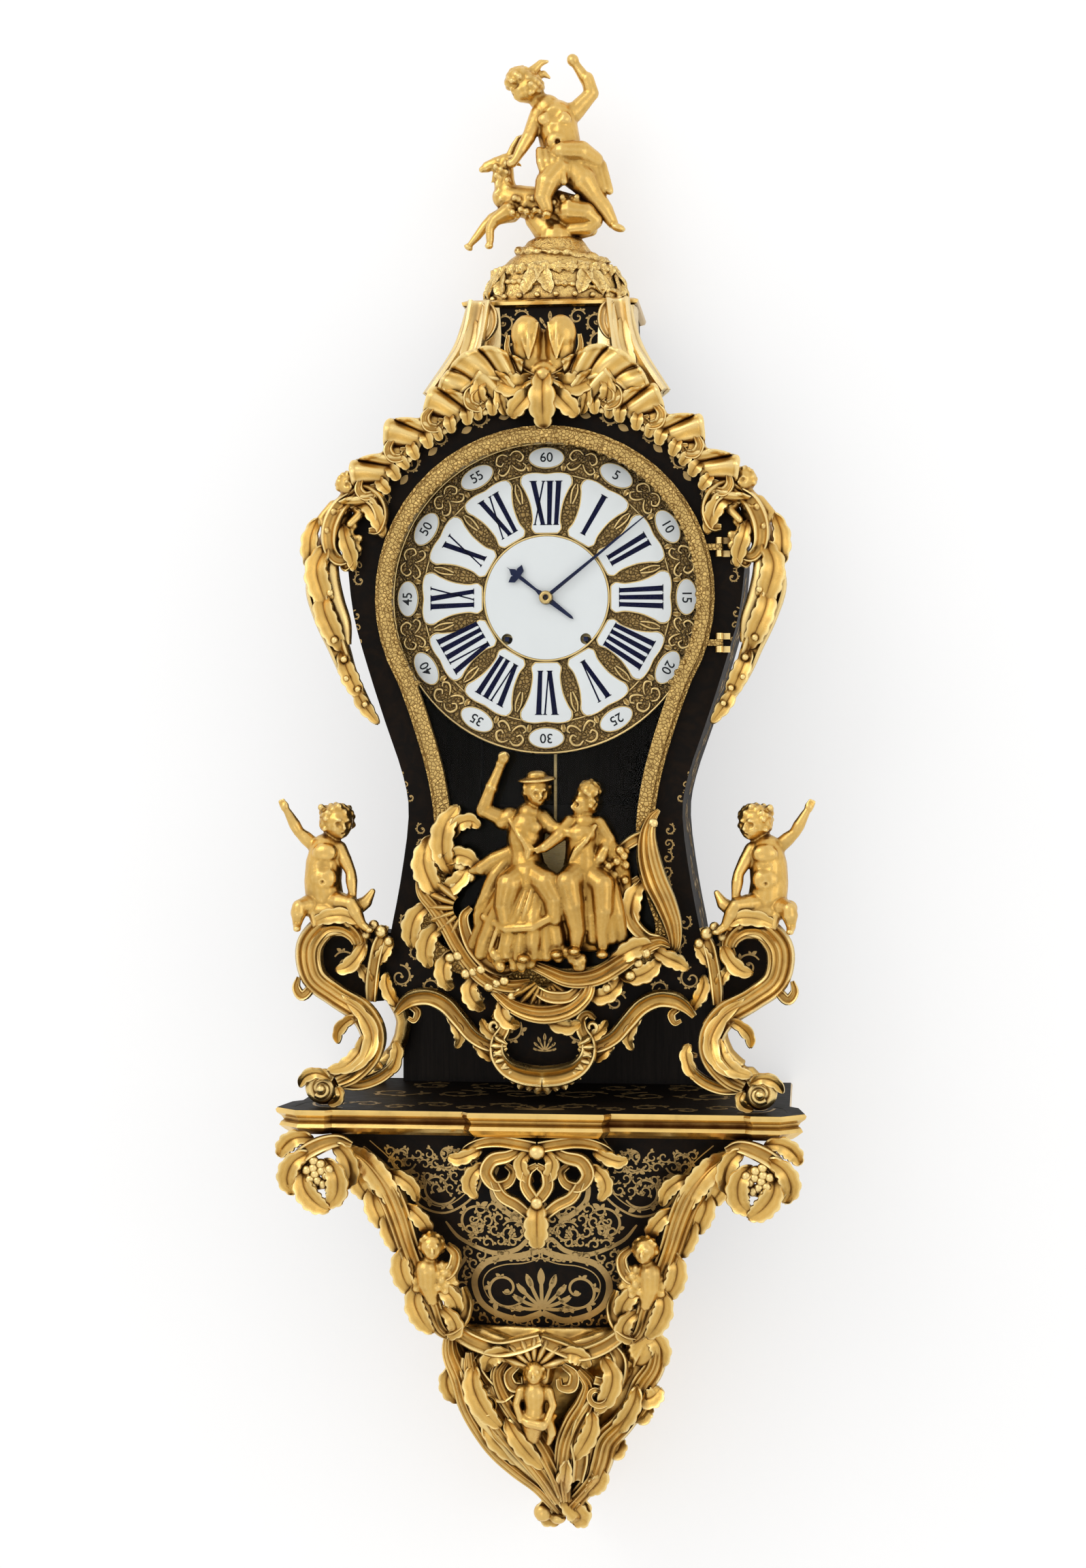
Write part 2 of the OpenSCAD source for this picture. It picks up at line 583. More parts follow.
// Front leg: a C-scroll with leaves, sweeping down and forward to a rolled foot
module foot_scroll(side) color(gilt) on_side(side) difference() {
    translate([base_half, case_front, shelf_top]) union() {
        bar([[24, -18, 148, 6, 7], [36, -18, 160, 10, 10], [54, -18, 160, 12, 11], [67, -20, 141, 13, 11],
            [63, -22, 116, 12, 11], [42, -24, 100, 11, 11], [17, -28, 84, 12, 11], [6, -34, 66, 11, 11],
            [8, -40, 47, 10, 10], [22, -46, 31, 10, 10], [38, -50, 24, 10, 11]], 3);
        limb([47, -50, 13], 15, [50, -46, 13], 14);
        bar([[8, -32, 62, 4, 5], [9, -28, 90, 8, 8], [12, -22, 114, 9, 8], [4, -20, 142, 7, 7],
            [-2, -18, 166, 2, 3]], 2);
        bar([[14, -26, 104, 4, 5], [28, -26, 116, 7, 6], [40, -24, 122, 2, 3]], 2);
        bar([[60, -20, 108, 4, 5], [73, -20, 102, 5, 5], [70, -20, 90, 2, 3]], 2);
        bar([[34, -44, 18, 4, 5], [10, -40, 24, 6, 6], [-10, -36, 36, 5, 5], [-15, -34, 50, 2, 3]], 2);
    }
    slab(0, -case_front) polygon(case_outline);
    below_shelf();
}
module rear_feet() color(gilt) for (side = [-1, 1]) on_side(side) difference() {
    translate([base_half, case_back - 20, shelf_top]) union() {
        bar([[-4, 0, 120, 6, 8], [22, 0, 124, 9, 10], [32, 0, 106, 9, 10], [16, 0, 84, 9, 10],
            [6, 0, 60, 8, 10], [14, 0, 32, 8, 10], [28, 0, 18, 9, 10]], 2);
        limb([34, 0, 8], 12, [36, 0, 8], 12);
    }
    slab(0, -case_front) polygon(case_outline);
    translate([-base_half - skirt, case_back - back_t, shelf_top - 5])
        cube([2 * (base_half + skirt), back_t, floor_height + 5]);
    below_shelf();
}

// Seated child on the front leg's scroll, one arm raised outwards
module putto(side) color(gilt) on_side(side) difference() {
    translate([base_half, case_front + 10, shelf_top]) {
        limb([42, -3, 259], 14, [44, 0, 263], 14);
        limb([47, 0, 245], 8, [50, 0, 238], 8.5);
        limb([54, 0, 228], 16, [57, 0, 205], 16.5);
        limb([57, 0, 205], 16.5, [56, 0, 183], 17);
        limb([44, 0, 236], 8, [64, 0, 239], 8);
        limb([66, 0, 239], 7.5, [80, 0, 251], 6);
        limb([80, 0, 251], 5.5, [92.5, -2, 272], 5);
        limb([41, -3, 234], 7.5, [29, -8, 207], 6);
        limb([29, -8, 207], 5.5, [29, -10, 184], 5);
        limb([52, -8, 180], 13, [30, -15, 177], 9);
        limb([30, -15, 177], 8, [14, -15, 164], 5.5);
        limb([64, -6, 176], 11, [74, -8, 160], 6);
    }
    foot_scroll_near();
}
module foot_scroll_near() translate([base_half, case_front, shelf_top])
    bar([[24, -18, 148, 6, 7], [36, -18, 160, 10, 10], [54, -18, 160, 12, 11], [67, -20, 141, 13, 11],
        [63, -22, 116, 12, 11], [42, -24, 100, 11, 11]], 3);

// Scrolled lower edge of the apron, with a scalloped cartouche in the middle
module apron_mount() color(gilt) translate([0, case_front, floor_z]) difference() {
    union() {
        for (side = [-1, 1]) on_side(side) {
            bar([[138, -6, -12, 3, 4], [126, -8, -1, 6, 6], [108, -9, 2, 8, 7], [90, -9, -4, 8, 7],
                [74, -9, -24, 7, 7], [54, -10, -42, 7, 7], [40, -11, -48, 5, 6]], 3);
            bar([[34, -11, -16, 2, 3], [45, -13, -26, 5, 5], [42, -13, -42, 6, 6], [34, -12, -58, 5, 6]], 2);
        }
        for (i = [-3:3]) let (a = 270 + i * 23)
            bar([for (q = [[24, 6.5, 6], [34, 9.5, 8], [42, 6.5, 4]])
                [q.x * 1.12 * cos(a), -9 - q[1], -38 + q.x * sin(a), q[1], q[2]]], 2, 6);
    }
    translate([-300, 0, -300]) cube([600, 300, 600]);
}

// Hinges of the glazed door
hinge_x = bezel_r + 4;
hinge_y = door_back - 5;
hinge_r = 3.6;
pin_r = 1.5;
hinge_drop = 44;
knuckle_h = 6;
module hinge_places() for (side = [-1, 1])
    translate([hinge_x, hinge_y, dial_z + side * hinge_drop]) children();
leaf_w = 10;
// Room for the hinges, filed out of what a narrower case brings near them
module hinge_clear() hinge_places()
    translate([-hinge_r - touch, -hinge_r - touch, -1.5 * knuckle_h - touch])
        cube([hinge_r + leaf_w + 2 * touch, 30, 3 * knuckle_h + 2 * touch]);
module case_hinges() color([0.8, 0.6, 0.25]) {
    hinge_places() front_hinge();
    rear_hinge();
}
module front_hinge() {
    cylinder(h = 3 * knuckle_h, r = pin_r, center = true, $fn = 32);
    for (end = [-1, 1]) difference() {
        translate([0, 0, end * knuckle_h]) union() {
            cylinder(h = knuckle_h - touch, r = hinge_r, center = true, $fn = 32);
            translate([0, 1.9, -(knuckle_h - touch) / 2])
                cube([leaf_w, case_front - hinge_y - 1.9, knuckle_h - touch]);
        }
        cylinder(h = 4 * knuckle_h, r = pin_r, center = true, $fn = 32);
    }
}
module rear_hinge() translate([back_hinge_x, back_hinge_y, dial_z]) {
    cylinder(h = 3 * rear_knuckle_h, r = pin_r, center = true, $fn = 32);
    for (end = [-1, 1]) difference() {
        translate([0, 0, end * rear_knuckle_h]) union() {
            cylinder(h = rear_knuckle_h - touch, r = rear_hinge_r, center = true, $fn = 32);
            translate([-12, case_back - back_hinge_y, touch / 2 - rear_knuckle_h / 2])
                cube([12, 2, rear_knuckle_h - touch]);
            translate([-rear_hinge_r, case_back - back_hinge_y, touch / 2 - rear_knuckle_h / 2])
                cube([rear_hinge_r, back_hinge_y - case_back, rear_knuckle_h - touch]);
        }
        cylinder(h = 4 * rear_knuckle_h, r = pin_r, center = true, $fn = 32);
    }
}
module door_hinges() hinge_places() difference() {
    union() {
        cylinder(h = knuckle_h - touch, r = hinge_r, center = true, $fn = 32);
        translate([-14, -3.4, -(knuckle_h - touch) / 2]) cube([14, 6.8, knuckle_h - touch]);
    }
    cylinder(h = 2 * knuckle_h, r = pin_r + running, center = true, $fn = 32);
}

// Glazed door, hinged on the right
glass_rebate = 4;
module door_frame() color(gilt) difference() {
    union() {
        slab(door_back, door_t - 4) polygon(door_outline);
        slab(door_back - 1, door_t - 1) polygon(inset(door_outline, 4));
        door_hinges();
    }
    slab(door_back + 1, door_t + 2) polygon(inset(door_outline, bezel_w));
    slab(door_back + 1, 1 + glass_rebate) polygon(inset(door_outline, bezel_w - 4));
    hinge_places() cylinder(h = 2 * knuckle_h, r = pin_r + running, center = true, $fn = 32);
}
module door_glass() color([0.75, 0.85, 0.85, 0.3])
    slab(door_back - glass_rebate + glass_t, glass_t) polygon(inset(door_outline, bezel_w - 3.6));

// A seated couple in front of the door
module door_figures() color(gilt) translate([0, door_front, waist_z]) difference() {
    union() {
        limb([-4, -20, 24], 9.5, [-3, -19, 31], 9.5);
        limb([-20, -20, 36], 3.5, [13, -20, 36], 3.5);
        limb([-5, -18, 38], 7, [-1, -18, 38], 7);
        limb([-6, -18, 15], 6, [-8, -18, 7], 8);
        limb([-26, -17, -1], 10, [2, -17, -3], 10);
        limb([-15, -18, -4], 15, [-13, -17, -30], 13);
        limb([-30, -16, 0], 7.5, [-54, -14, 8], 6.5);
        limb([-54, -14, 8], 6.5, [-46, -14, 40], 5);
        limb([-46, -14, 40], 5, [-33, -12, 60], 5.5);
        limb([-14, -14, -40], 17, [-8, -24, -62], 19);
        limb([-14, -22, -62], 19, [-40, -13, -116], 17);
        limb([-8, -24, -62], 18, [4, -16, -118], 18);
        limb([-18, -16, -28], 9, [-54, -8, -46], 6);
        limb([40, -18, 16], 11, [42, -17, 26], 11.5);
        limb([42, -17, 2], 8, [41, -18, 12], 8);
        limb([40, -17, -8], 15, [46, -16, -36], 14);
        limb([32, -18, -2], 8, [6, -20, -5], 6);
        limb([54, -16, -6], 7.5, [64, -16, -32], 6);
        limb([64, -16, -32], 6, [42, -24, -44], 5);
        limb([44, -18, -44], 17, [22, -26, -58], 12);
        limb([44, -16, -48], 18, [58, -13, -100], 16);
        limb([24, -24, -62], 11, [30, -16, -110], 10);
    }
    translate([-300, 0, -300]) cube([600, 300, 600]);
}

// Rocaille frame round the foot of the door
module door_scrolls() color(gilt) translate([0, door_front, waist_z]) difference() {
    union() {
        bar([[-94, -3, 24, 2, 3], [-92, -5, 4, 5, 5], [-86, -7, -20, 7, 7], [-98, -8, -40, 9, 8],
            [-104, -8, -66, 9, 8], [-114, -8, -92, 8, 8], [-104, -9, -116, 9, 9], [-84, -10, -132, 9, 9]], 2);
        bar([[-70, -4, -6, 2, 3], [-78, -7, -20, 6, 6], [-72, -7, -36, 7, 6], [-90, -8, -54, 6, 6]], 2);
        bar([[-62, -6, -86, 5, 5], [-72, -9, -104, 8, 8], [-66, -10, -128, 9, 9], [-40, -12, -146, 10, 10],
            [-8, -14, -150, 11, 10], [26, -13, -140, 10, 10], [58, -10, -126, 9, 9], [88, -8, -112, 8, 8],
            [116, -8, -104, 7, 7]], 2);
        bar([[94, -4, 14, 3, 3], [98, -7, -12, 6, 6], [108, -8, -42, 10, 8], [110, -8, -74, 10, 8],
            [114, -8, -100, 8, 7], [100, -8, -116, 7, 7]], 2);
        bar([[84, -6, 0, 3, 4], [70, -8, -10, 5, 5], [62, -8, -30, 5, 5], [76, -9, -50, 5, 5],
            [100, -8, -62, 5, 5]], 2);
        bar([[-30, -10, -150, 6, 6], [-6, -12, -168, 9, 8], [28, -11, -164, 8, 8], [46, -8, -152, 4, 5],
            [36, -8, -146, 3, 4]], 2);
        bar([[-84, -6, -118, 4, 5], [-60, -8, -144, 7, 7], [-40, -9, -160, 6, 6], [-34, -8, -172, 3, 4]], 2);
        for (x = [-16:11:17])
            bar([[x, -8, -160, 4, 6], [x * 1.15, -9, -176, 5, 5], [x * 1.3, -7, -184, 2, 2]], 1, 6);
    }
    translate([-300, 0, -300]) cube([600, 300, 600]);
    door_figures_here();
}
module door_figures_here() translate([0, -door_front, -waist_z]) door_figures();

// Back door, hinged on its left as seen from the front
back_door_t = 4;
back_hinge_x = -(back_open_r + 14);
back_hinge_y = case_back + 6;
rear_hinge_r = 3.2;
rear_knuckle_h = 13;
module back_door() color([0.75, 0.58, 0.28]) difference() {
    union() {
        slab(case_back + door_gap + back_door_t, back_door_t) {
            translate([0, dial_z]) circle(back_open_r + 6, $fn = 64);
            translate([-86, waist_z + 4]) square([172, dial_z - waist_z - 4]);
        }
        translate([back_hinge_x, back_hinge_y, dial_z])
            cylinder(h = rear_knuckle_h - touch, r = rear_hinge_r, center = true, $fn = 32);
        translate([back_hinge_x, back_hinge_y - 3, dial_z - rear_knuckle_h / 2 + touch / 2])
            cube([14, 3, rear_knuckle_h - touch]);
        rod(back_open_r - 4, dial_z, case_back + door_gap + back_door_t + 9, 9, 5);
    }
    translate([back_hinge_x, back_hinge_y, dial_z])
        cylinder(h = 40, r = pin_r + running, center = true, $fn = 32);
    for (i = [0:5]) rod(58 * cos(60 * i), dial_z + 58 * sin(60 * i), 0, 40, 16);
}

// Dial

module dial_plate() color([0.72, 0.53, 0.22]) difference() {
    union() {
        rod(0, dial_z, dial_back, dial_t, dial_r);
        for (x = [-50, 50], z = [-58, 50])
            rod(x, dial_z + z, dial_back + 18, 18, 3);
    }
    rod(0, dial_z, dial_back + 1, dial_t + 2, 6);
    for (side = [-1, 1]) rod(side * winding_x, dial_z - winding_drop, dial_back + 1, dial_t + 2, 6);
}

// One hour plaque, standing on the ring at twelve o'clock
plaque = smooth([[10, 0], [13.5, 4], [12.5, 13], [15, 28], [20, 40], [23.5, 46], [22, 53], [12, 55.5],
    [0, 54.5]], 2);
module hour_plaque() polygon([for (p = both_halves(concat([[0, 0]], plaque)))
    [p.x, hour_in + p.y * (hour_out - hour_in) / 55]]);
module dial_enamels() color([0.95, 0.95, 0.93]) {
    difference() {
        rod(0, dial_z, dial_front, enamel_t, centre_r);
        rod(0, dial_z, dial_front + 1, enamel_t + 2, 6);
        for (side = [-1, 1]) rod(side * winding_x, dial_z - winding_drop, dial_front + 1, enamel_t + 2, 5.2);
    }
    for (i = [0:11]) translate([0, 0, dial_z]) rotate([0, 30 * i, 0]) {
        slab(dial_front, enamel_t) hour_plaque();
        translate([0, 0, minute_ring]) slab(dial_front, enamel_t) scale([16, 9]) circle(1, $fn = 32);
    }
}

// A toothed wheel round the origin, as a flat outline; turn sets the angle of its first tooth
module toothed(teeth, m, turn = 0, add = 0.85, ded = 1.15, tip = 0.12, root = 0.25) {
    pitch_r = teeth * m / 2;
    step = 360 / teeth;
    polygon([for (i = [0:teeth - 1],
            q = [[-root, -ded * m], [-tip, add * m], [tip, add * m], [root, -ded * m]])
        (pitch_r + q.y) * [cos(turn + (i + q.x) * step), sin(turn + (i + q.x) * step)]]);
}

// The angle at which a wheel's first tooth meshes with a wheel turned by a, seen along angle t
function meshed(a, step_a, t, step_b) = t + 180 - step_b * ((a - t) / step_a + 0.5);

// A wheel with crossings, between depths front and back, at x, z
module wheel(x, z, back, thick, teeth, m, turn, bore, arms = 4)
    translate([x, 0, z]) slab(back, thick) difference() {
    toothed(teeth, m, turn);
    if (bore > 0) circle(bore, $fn = 32);
    rim = teeth * m / 2 - 1.15 * m - 2;
    if (arms > 0) difference() {
        circle(rim, $fn = 48);
        circle(max(bore, 1) + 3, $fn = 32);
        for (i = [0:arms - 1]) rotate(i * 360 / arms + 45) translate([0, -1.2]) square([rim + 1, 2.4]);
    }
}
module pinion(x, z, back, thick, leaves, m, turn) translate([x, 0, z]) slab(back, thick)
    toothed(leaves, m, turn, 0.75, 1.1, 0.09, 0.19);

// Arbor between the plates with a thin pivot at each end
pivot_r = 0.8;
module arbor(x, z, r = 1.5) {
    rod(x, z, inner_back - 0.4, plate_gap - 0.8, r);
    rod(x, z, inner_back + plate_t, plate_gap + 2 * plate_t, pivot_r);
}

// Places of the arbors, seen from the front, relative to the dial centre
great_teeth = 75;
inter_pinion = 12;
inter_teeth = 56;
centre_pinion = 10;
centre_teeth = 72;
third_pinion = 8;
third_teeth = 72;
escape_pinion = 6;
train_module = 0.6;
fine_module = 0.55;
great_reach = great_module * (great_teeth + inter_pinion) / 2;
inter_reach = great_module * (inter_teeth + centre_pinion) / 2;
third_reach = train_module * (centre_teeth + third_pinion) / 2;
escape_reach = fine_module * (third_teeth + escape_pinion) / 2;

// The point at distance ra from a and rb from b, on the left of the way from a to b
function meet(a, ra, b, rb) = let (d = norm(b - a), u = (b - a) / d,
    s = (ra * ra - rb * rb + d * d) / (2 * d)) a + u * s + [-u.y, u.x] * sqrt(ra * ra - s * s);
function bearing(a, b) = atan2(b.y - a.y, b.x - a.x);

going_at = [winding_x, -winding_drop];
strike_at = [-winding_x, -winding_drop];
inter_at = meet([0, 0], inter_reach, going_at, great_reach);
pin_at = [-inter_at.x, inter_at.y];
third_at = third_reach * [cos(127), sin(127)];
escape_up = third_at.y + sqrt(escape_reach * escape_reach - third_at.x * third_at.x);
escape_at = [0, escape_up];
swing_up = escape_up + 21;

// Angles of the wheels at rest, from the great wheel up
step_great = 360 / great_teeth;
inter_turn = meshed(0, step_great, bearing(going_at, inter_at), 360 / inter_pinion);
centre_turn = meshed(0, 360 / inter_teeth, bearing(inter_at, [0, 0]), 360 / centre_pinion);
third_turn = meshed(0, 360 / centre_teeth, bearing([0, 0], third_at), 360 / third_pinion);
escape_turn = meshed(0, 360 / third_teeth, bearing(third_at, escape_at), 360 / escape_pinion);
pin_turn = meshed(0, step_great, bearing(strike_at, pin_at), 360 / inter_pinion);

// Levels between the plates, from the back plate forward
great_level = inner_back - 14;
inter_level = inner_back - 10;
centre_level = inner_back - 5;
third_level = inner_back - 21;
escape_level = inner_back - 29;

arbor_list = [inter_at, pin_at, third_at, escape_at, [0, swing_up]];
centre_r_arbor = 2;
winding_r = 3;

plate_foot = dial_z - 78;
plate_head = dial_z + swing_up + 8;
module plate_shape() translate([-plate_half, plate_foot]) square([2 * plate_half, plate_head - plate_foot]);
module plate_holes(back) {
    for (p = arbor_list) rod(p.x, dial_z + p.y, back + 1, plate_t + 2, pivot_r + running);
    rod(0, dial_z, back + 1, plate_t + 2, centre_r_arbor + running);
    for (p = [going_at, strike_at]) rod(p.x, dial_z + p.y, back + 1, plate_t + 2, winding_r + running);
    rod(hammer_at.x, dial_z + hammer_at.y, back + 1, plate_t + 2, pivot_r + running);
}
module front_plate() color([0.8, 0.65, 0.35]) difference() {
    union() {
        slab(front_plate_back, plate_t) plate_shape();
        rod(motion_at.x, dial_z + motion_at.y, front_plate_back - plate_t, 12, 1.5);
    }
    plate_holes(front_plate_back);
}

// Back plate, with its riveted pillars and the cock from which the pendulum hangs
cock_w = 14;
stud_r = 1.5;
module back_plate() color([0.8, 0.65, 0.35]) difference() {
    union() {
        slab(back_plate_back, plate_t) plate_shape();
        for (x = [-1, 1], z = [plate_foot + 6, plate_head - 6])
            translate([x * (plate_half - 6), inner_back, z]) rotate([90, 0, 0]) pillar();
        translate([-cock_w / 2, back_plate_back, plate_head - 3])
            cube([cock_w, pendulum_y + 6 - back_plate_back, 4]);
        translate([-cock_w / 2, pendulum_y + 3.5, plate_head - 14]) cube([cock_w, 2.5, 15]);
        rod(0, dial_z + swing_up, pendulum_y + 4, 7, stud_r);
    }
    plate_holes(back_plate_back);
}
module pillar() {
    cylinder(h = plate_gap, r = 3, $fn = 32);
    for (y = [4, plate_gap - 6]) translate([0, 0, y]) cylinder(h = 2, r = 4.5, $fn = 32);
}

// Bell on a post over the movement
bell_z = dial_z + swing_up + 46;
bell_y = (inner_front + inner_back) / 2;
module bell() color([0.75, 0.62, 0.35]) translate([0, bell_y, 0]) {
    difference() {
        translate([0, 0, bell_z]) rotate_extrude($fn = 64) polygon([[0, 20], [14, 19], [26, 14], [34, 6],
            [bell_r, 0], [bell_r - 2.5, 0], [31.5, 5], [24, 12], [13, 16.5], [0, 17.5]]);
        translate([0, 0, bell_z + 10]) cylinder(h = 20, r = 2, $fn = 32);
    }
    translate([0, 0, plate_head]) cylinder(h = bell_z + 22 - plate_head, r = 2, $fn = 32);
    translate([-5, -plate_gap / 2 - plate_t, plate_head]) cube([10, plate_gap + 2 * plate_t, 3]);
    translate([0, 0, bell_z + 20]) cylinder(h = 4, r = 4.5, $fn = 6);
}

// Hammer beside the bell: its tail points at the pins of the strike train
hammer_at = [-52, 22];
pin_ring = 17.3;
tail_way = pin_at - hammer_at;
tail_l = norm(tail_way) - pin_ring - 1.6;
module hammer() color([0.6, 0.6, 0.62]) {
    arbor(hammer_at.x, dial_z + hammer_at.y);
    translate([hammer_at.x - 1.5, bell_y - 2, dial_z + hammer_at.y])
        cube([3, 4, bell_z + 4 - dial_z - hammer_at.y]);
    translate([hammer_at.x - 3, bell_y, bell_z + 4]) rotate([0, 90, 0]) cylinder(h = 12, r = 4, $fn = 32);
    translate([hammer_at.x, inter_level + 0.2, dial_z + hammer_at.y])
        rotate([0, atan2(tail_way.x, tail_way.y), 0]) translate([-1, 0, 0]) cube([2, 2, tail_l]);
}

// Going train

module centre_wheel() color([0.82, 0.66, 0.32]) {
    rod(0, dial_z, inner_back + plate_t, plate_gap + 2 * plate_t, centre_r_arbor);
    rod(0, dial_z, inner_front - plate_t, 26, 1.6);
    wheel(0, dial_z, centre_level, 2, centre_teeth, train_module, 0, centre_r_arbor - 0.5);
    pinion(0, dial_z, inter_level + 1, 4, centre_pinion, great_module, centre_turn);
}
module intermediate_wheel() color([0.82, 0.66, 0.32]) {
    arbor(inter_at.x, dial_z + inter_at.y);
    wheel(inter_at.x, dial_z + inter_at.y, inter_level, 2, inter_teeth, great_module, 0, 1);
    pinion(inter_at.x, dial_z + inter_at.y, great_level + 1, 4, inter_pinion, great_module, inter_turn);
}
module third_wheel() color([0.82, 0.66, 0.32]) {
    arbor(third_at.x, dial_z + third_at.y, 1);
    wheel(third_at.x, dial_z + third_at.y, third_level, 1.5, third_teeth, fine_module, 0, 0.8);
    pinion(third_at.x, dial_z + third_at.y, centre_level + 1, 4, third_pinion, train_module, third_turn);
}
escape_r = 14;
escape_teeth = 30;
module escape_wheel() color([0.82, 0.66, 0.32]) {
    arbor(escape_at.x, dial_z + escape_at.y, 0.9);
    pinion(escape_at.x, dial_z + escape_at.y, third_level + 1, 3.5, escape_pinion, fine_module, escape_turn);
    translate([escape_at.x, 0, dial_z + escape_at.y]) slab(escape_level, 1.5) difference() {
        polygon([for (i = [0:escape_teeth - 1],
                q = [[0, escape_r - 3], [0.35, escape_r - 3], [0.1, escape_r]]) let (a = (i + q.x) * 12)
            q.y * [cos(a), sin(a)]]);
        circle(0.7, $fn = 32);
        difference() {
            circle(9, $fn = 32);
            circle(3, $fn = 32);
            for (i = [0:3]) rotate(45 + 90 * i) translate([0, -0.8]) square([10, 1.6]);
        }
    }
}

// A spring barrel with its great wheel, which turns on the winding arbor
barrel_r = great_module * great_teeth / 2 - 3;
barrel_l = 24;
module barrel(at) translate([at.x, 0, dial_z + at.y]) difference() {
    union() {
        slab(great_level, 2) toothed(great_teeth, great_module);
        rod(0, 0, great_level - 2, barrel_l, barrel_r);
    }
    rod(0, 0, great_level + 1, barrel_l + 6, winding_r + 1 + running);
}
module going_barrel() color([0.82, 0.66, 0.32]) barrel(going_at);
module strike_barrel() color([0.82, 0.66, 0.32]) barrel(strike_at);

// Winding arbor: thick inside the barrel, with a square end that comes through the dial
square_w = 4;
module winding_arbor(at) {
    rod(at.x, dial_z + at.y, inner_back + plate_t, plate_gap + 2 * plate_t, winding_r);
    rod(at.x, dial_z + at.y, great_level + 0.6, barrel_l + 3.2, winding_r + 1);
    translate([at.x - square_w / 2, enamel_front - 0.5, dial_z + at.y - square_w / 2])
        cube([square_w, inner_front - plate_t - enamel_front + 1, square_w]);
}
module going_arbor() color([0.5, 0.5, 0.52]) winding_arbor(going_at);
module strike_arbor() color([0.5, 0.5, 0.52]) winding_arbor(strike_at);

// Strike train: the wheel whose pins lift the hammer
pin_teeth = 48;
module pin_wheel() color([0.82, 0.66, 0.32]) {
    arbor(pin_at.x, dial_z + pin_at.y);
    wheel(pin_at.x, dial_z + pin_at.y, inter_level, 2, pin_teeth, great_module, 0, 1);
    pinion(pin_at.x, dial_z + pin_at.y, great_level + 1, 4, inter_pinion, great_module, pin_turn);
    for (i = [0:9]) let (a = 36 * i + 18)
        rod(pin_at.x + pin_ring * cos(a), dial_z + pin_at.y + pin_ring * sin(a), inter_level + 2.3, 2.8, 0.8);
}

// Motion work behind the dial
cannon_teeth = 12;
minute_teeth = 36;
minute_pinion = 12;
hour_teeth = 48;
cannon_module = 0.75;
hour_module = 0.6;
motion_reach = cannon_module * (cannon_teeth + minute_teeth) / 2;
motion_at = motion_reach * [cos(60), sin(60)];
motion_turn = meshed(0, 360 / cannon_teeth, bearing([0, 0], motion_at), 360 / minute_teeth);
hour_turn = meshed(0, 360 / minute_pinion, bearing(motion_at, [0, 0]), 360 / hour_teeth);
motion_level = front_plate_back - plate_t - 1.5;
hour_hand_y = enamel_front - 3;
minute_hand_y = hour_hand_y - 3;
module minute_wheel() color([0.82, 0.66, 0.32])
    translate([motion_at.x, 0, dial_z + motion_at.y]) difference() {
    union() {
        slab(motion_level, 2) toothed(minute_teeth, cannon_module, motion_turn);
        slab(motion_level - 2, 5) toothed(minute_pinion, hour_module, 0, 0.75, 1.1, 0.09, 0.19);
    }
    rod(0, 0, motion_level + 1, 20, 1.5 + running);
}

// Hands, drawn at twelve and turned to the time shown
hour_angle = 308;
minute_angle = 51;
module minute_hand() color([0.08, 0.08, 0.12]) {
    difference() {
        union() {
            translate([0, 0, dial_z]) slab(motion_level + 0.6, 3)
                toothed(cannon_teeth, cannon_module, 0, 0.75, 1.1, 0.09, 0.19);
            rod(0, dial_z, motion_level - 2, motion_level - 2 - minute_hand_y + 2, 2.8);
        }
        rod(0, dial_z, motion_level + 2, 40, 1.6 + running);
    }
    translate([0, 0, dial_z]) rotate([0, minute_angle, 0]) slab(minute_hand_y, 1.2) difference() {
        polygon([[-1.8, 0], [-1.6, 30], [-0.5, minute_hand_l], [0.5, minute_hand_l], [1.6, 30], [1.8, 0],
            [4, 0], [4, -4], [0, -6], [-4, -4], [-4, 0]]);
        circle(2.8, $fn = 32);
    }
}
module hour_hand() color([0.08, 0.08, 0.12]) {
    difference() {
        union() {
            translate([0, 0, dial_z]) slab(motion_level - 3.5, 2) toothed(hour_teeth, hour_module, hour_turn);
            rod(0, dial_z, motion_level - 5, motion_level - 5 - hour_hand_y, 4.4);
        }
        rod(0, dial_z, motion_level + 2, 40, 2.8 + running);
    }
    translate([0, 0, dial_z]) rotate([0, hour_angle, 0]) slab(hour_hand_y, 1.2) difference() {
        union() {
            polygon([[-3, 4], [-1.2, 12], [-1.8, hour_hand_l - 17], [0, hour_hand_l], [1.8, hour_hand_l - 17],
                [1.2, 12], [3, 4], [1.4, -30], [0, -33], [-1.4, -30]]);
            circle(6.5, $fn = 32);
            translate([0, hour_hand_l - 14]) for (a = [-70, 0, 70]) rotate(a)
                polygon([[-1.2, -2], [-3.4, 6], [0, 11], [3.4, 6], [1.2, -2]]);
        }
        circle(2.8 + running, $fn = 32);
    }
}

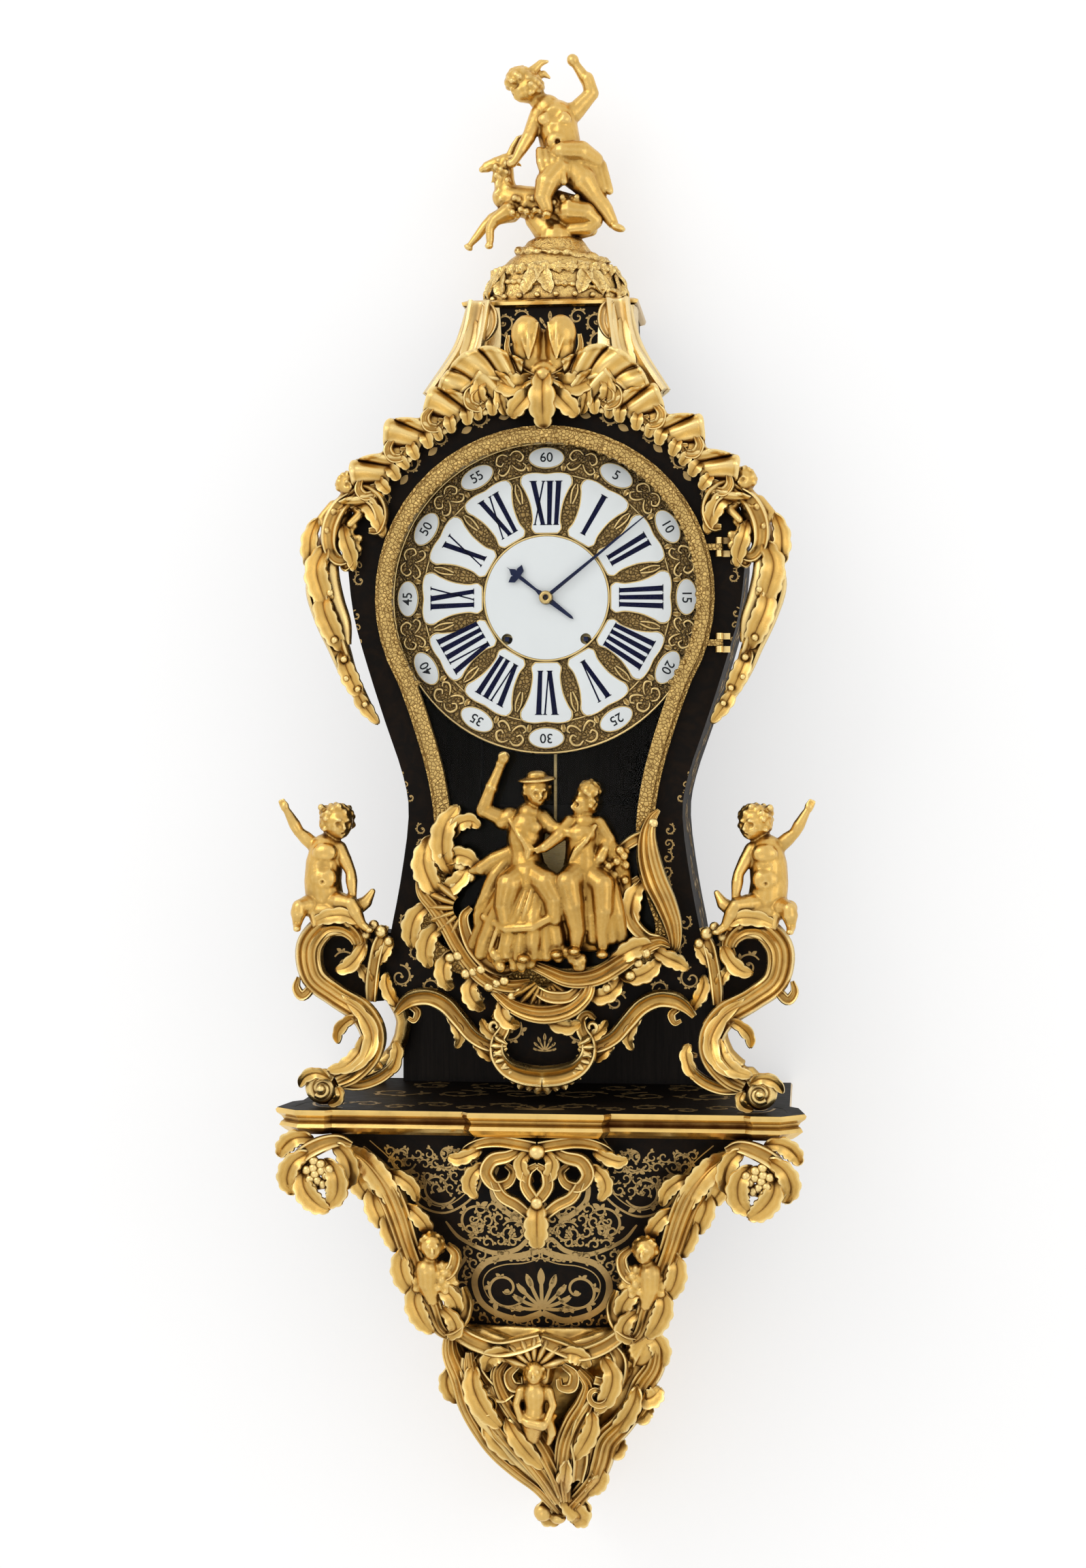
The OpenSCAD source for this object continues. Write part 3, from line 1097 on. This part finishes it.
// Pallets and crutch, which swing with the pendulum about the same line
pendulum_y = back_plate_back + 12;
crutch_l = 62;
rod_w = 3;
module crutch() color([0.55, 0.55, 0.57]) {
    rod(0, dial_z + swing_up, inner_back - 0.4, plate_gap - 0.8, 1.2);
    rod(0, dial_z + swing_up, back_plate_back + 3, plate_gap + 2 * plate_t + 3, pivot_r);
    translate([0, 0, dial_z + swing_up]) slab(escape_level, 2) difference() {
        polygon([[0, 3], [-6, 0], [-16, -9.5], [-15.2, -12.5], [-12.6, -10.8], [-5, -3.6], [0, -3], [5, -3.6],
            [12.6, -10.8], [15.2, -12.5], [16, -9.5], [6, 0]]);
        circle(1, $fn = 32);
    }
    rod(0, dial_z + swing_up, back_plate_back + 3.4, 2.8, 2.6);
    translate([-1.5, back_plate_back + 1, dial_z + swing_up - crutch_l]) cube([3, 2, crutch_l - 2]);
    for (side = [-1, 1]) on_side(side)
        translate([rod_w / 2 + touch, back_plate_back + 1, dial_z + swing_up - crutch_l])
            cube([1.5, pendulum_y - back_plate_back + 2, 3]);
    translate([-rod_w / 2 - touch - 1.5, back_plate_back + 1, dial_z + swing_up - crutch_l])
        cube([rod_w + 2 * touch + 3, 2, 3]);
}

// Pendulum: an eye on the cock's stud, a flat rod, a lens bob and its rating nut
module pendulum() color([0.75, 0.6, 0.3]) translate([0, pendulum_y, dial_z + swing_up]) {
    difference() {
        union() {
            rod(0, 0, 2, 4, 4);
            translate([-rod_w / 2, -1.2, -pendulum_l - bob_r - 12])
                cube([rod_w, 2.4, pendulum_l + bob_r + 10]);
        }
        rod(0, 0, 5, 10, stud_r + running);
    }
    for (face = [90, -90]) translate([0, 0, -pendulum_l]) rotate([face, 0, 0])
        cylinder(h = 5, r1 = bob_r, r2 = bob_r - 7, $fn = 64);
    translate([0, 0, -pendulum_l - bob_r - 8]) cylinder(h = 4, r = 5, $fn = 32);
}

bracket_core();
shelf_board();
shelf_moulding();
hook_plates();
pendant_mount();
bracket_corner(-1);  // bracket_corner_left
bracket_corner(1);  // bracket_corner_right
bracket_side(-1);  // bracket_side_left
bracket_side(1);  // bracket_side_right
bracket_foot_mount();
case_side(-1);  // case_side_left
case_side(1);  // case_side_right
case_arch();
case_floor();
front_frame();
apron_board();
back_frame();
seat_board();
pediment();
cornice();
dome();
finial_putto();
finial_goat();
pediment_corners();
crest_shell();
arch_ruffles();
shoulder(-1);  // shoulder_left
shoulder(1);  // shoulder_right
foot_scroll(-1);  // foot_scroll_left
foot_scroll(1);  // foot_scroll_right
rear_feet();
putto(-1);  // putto_left
putto(1);  // putto_right
apron_mount();
case_hinges();
dial_plate();
dial_enamels();
front_plate();
back_plate();
bell();
door_frame();
door_glass();
door_figures();
door_scrolls();
back_door();
hour_hand();
minute_hand();
minute_wheel();
centre_wheel();
third_wheel();
escape_wheel();
intermediate_wheel();
going_barrel();
strike_barrel();
going_arbor();
strike_arbor();
pin_wheel();
hammer();
crutch();
pendulum();
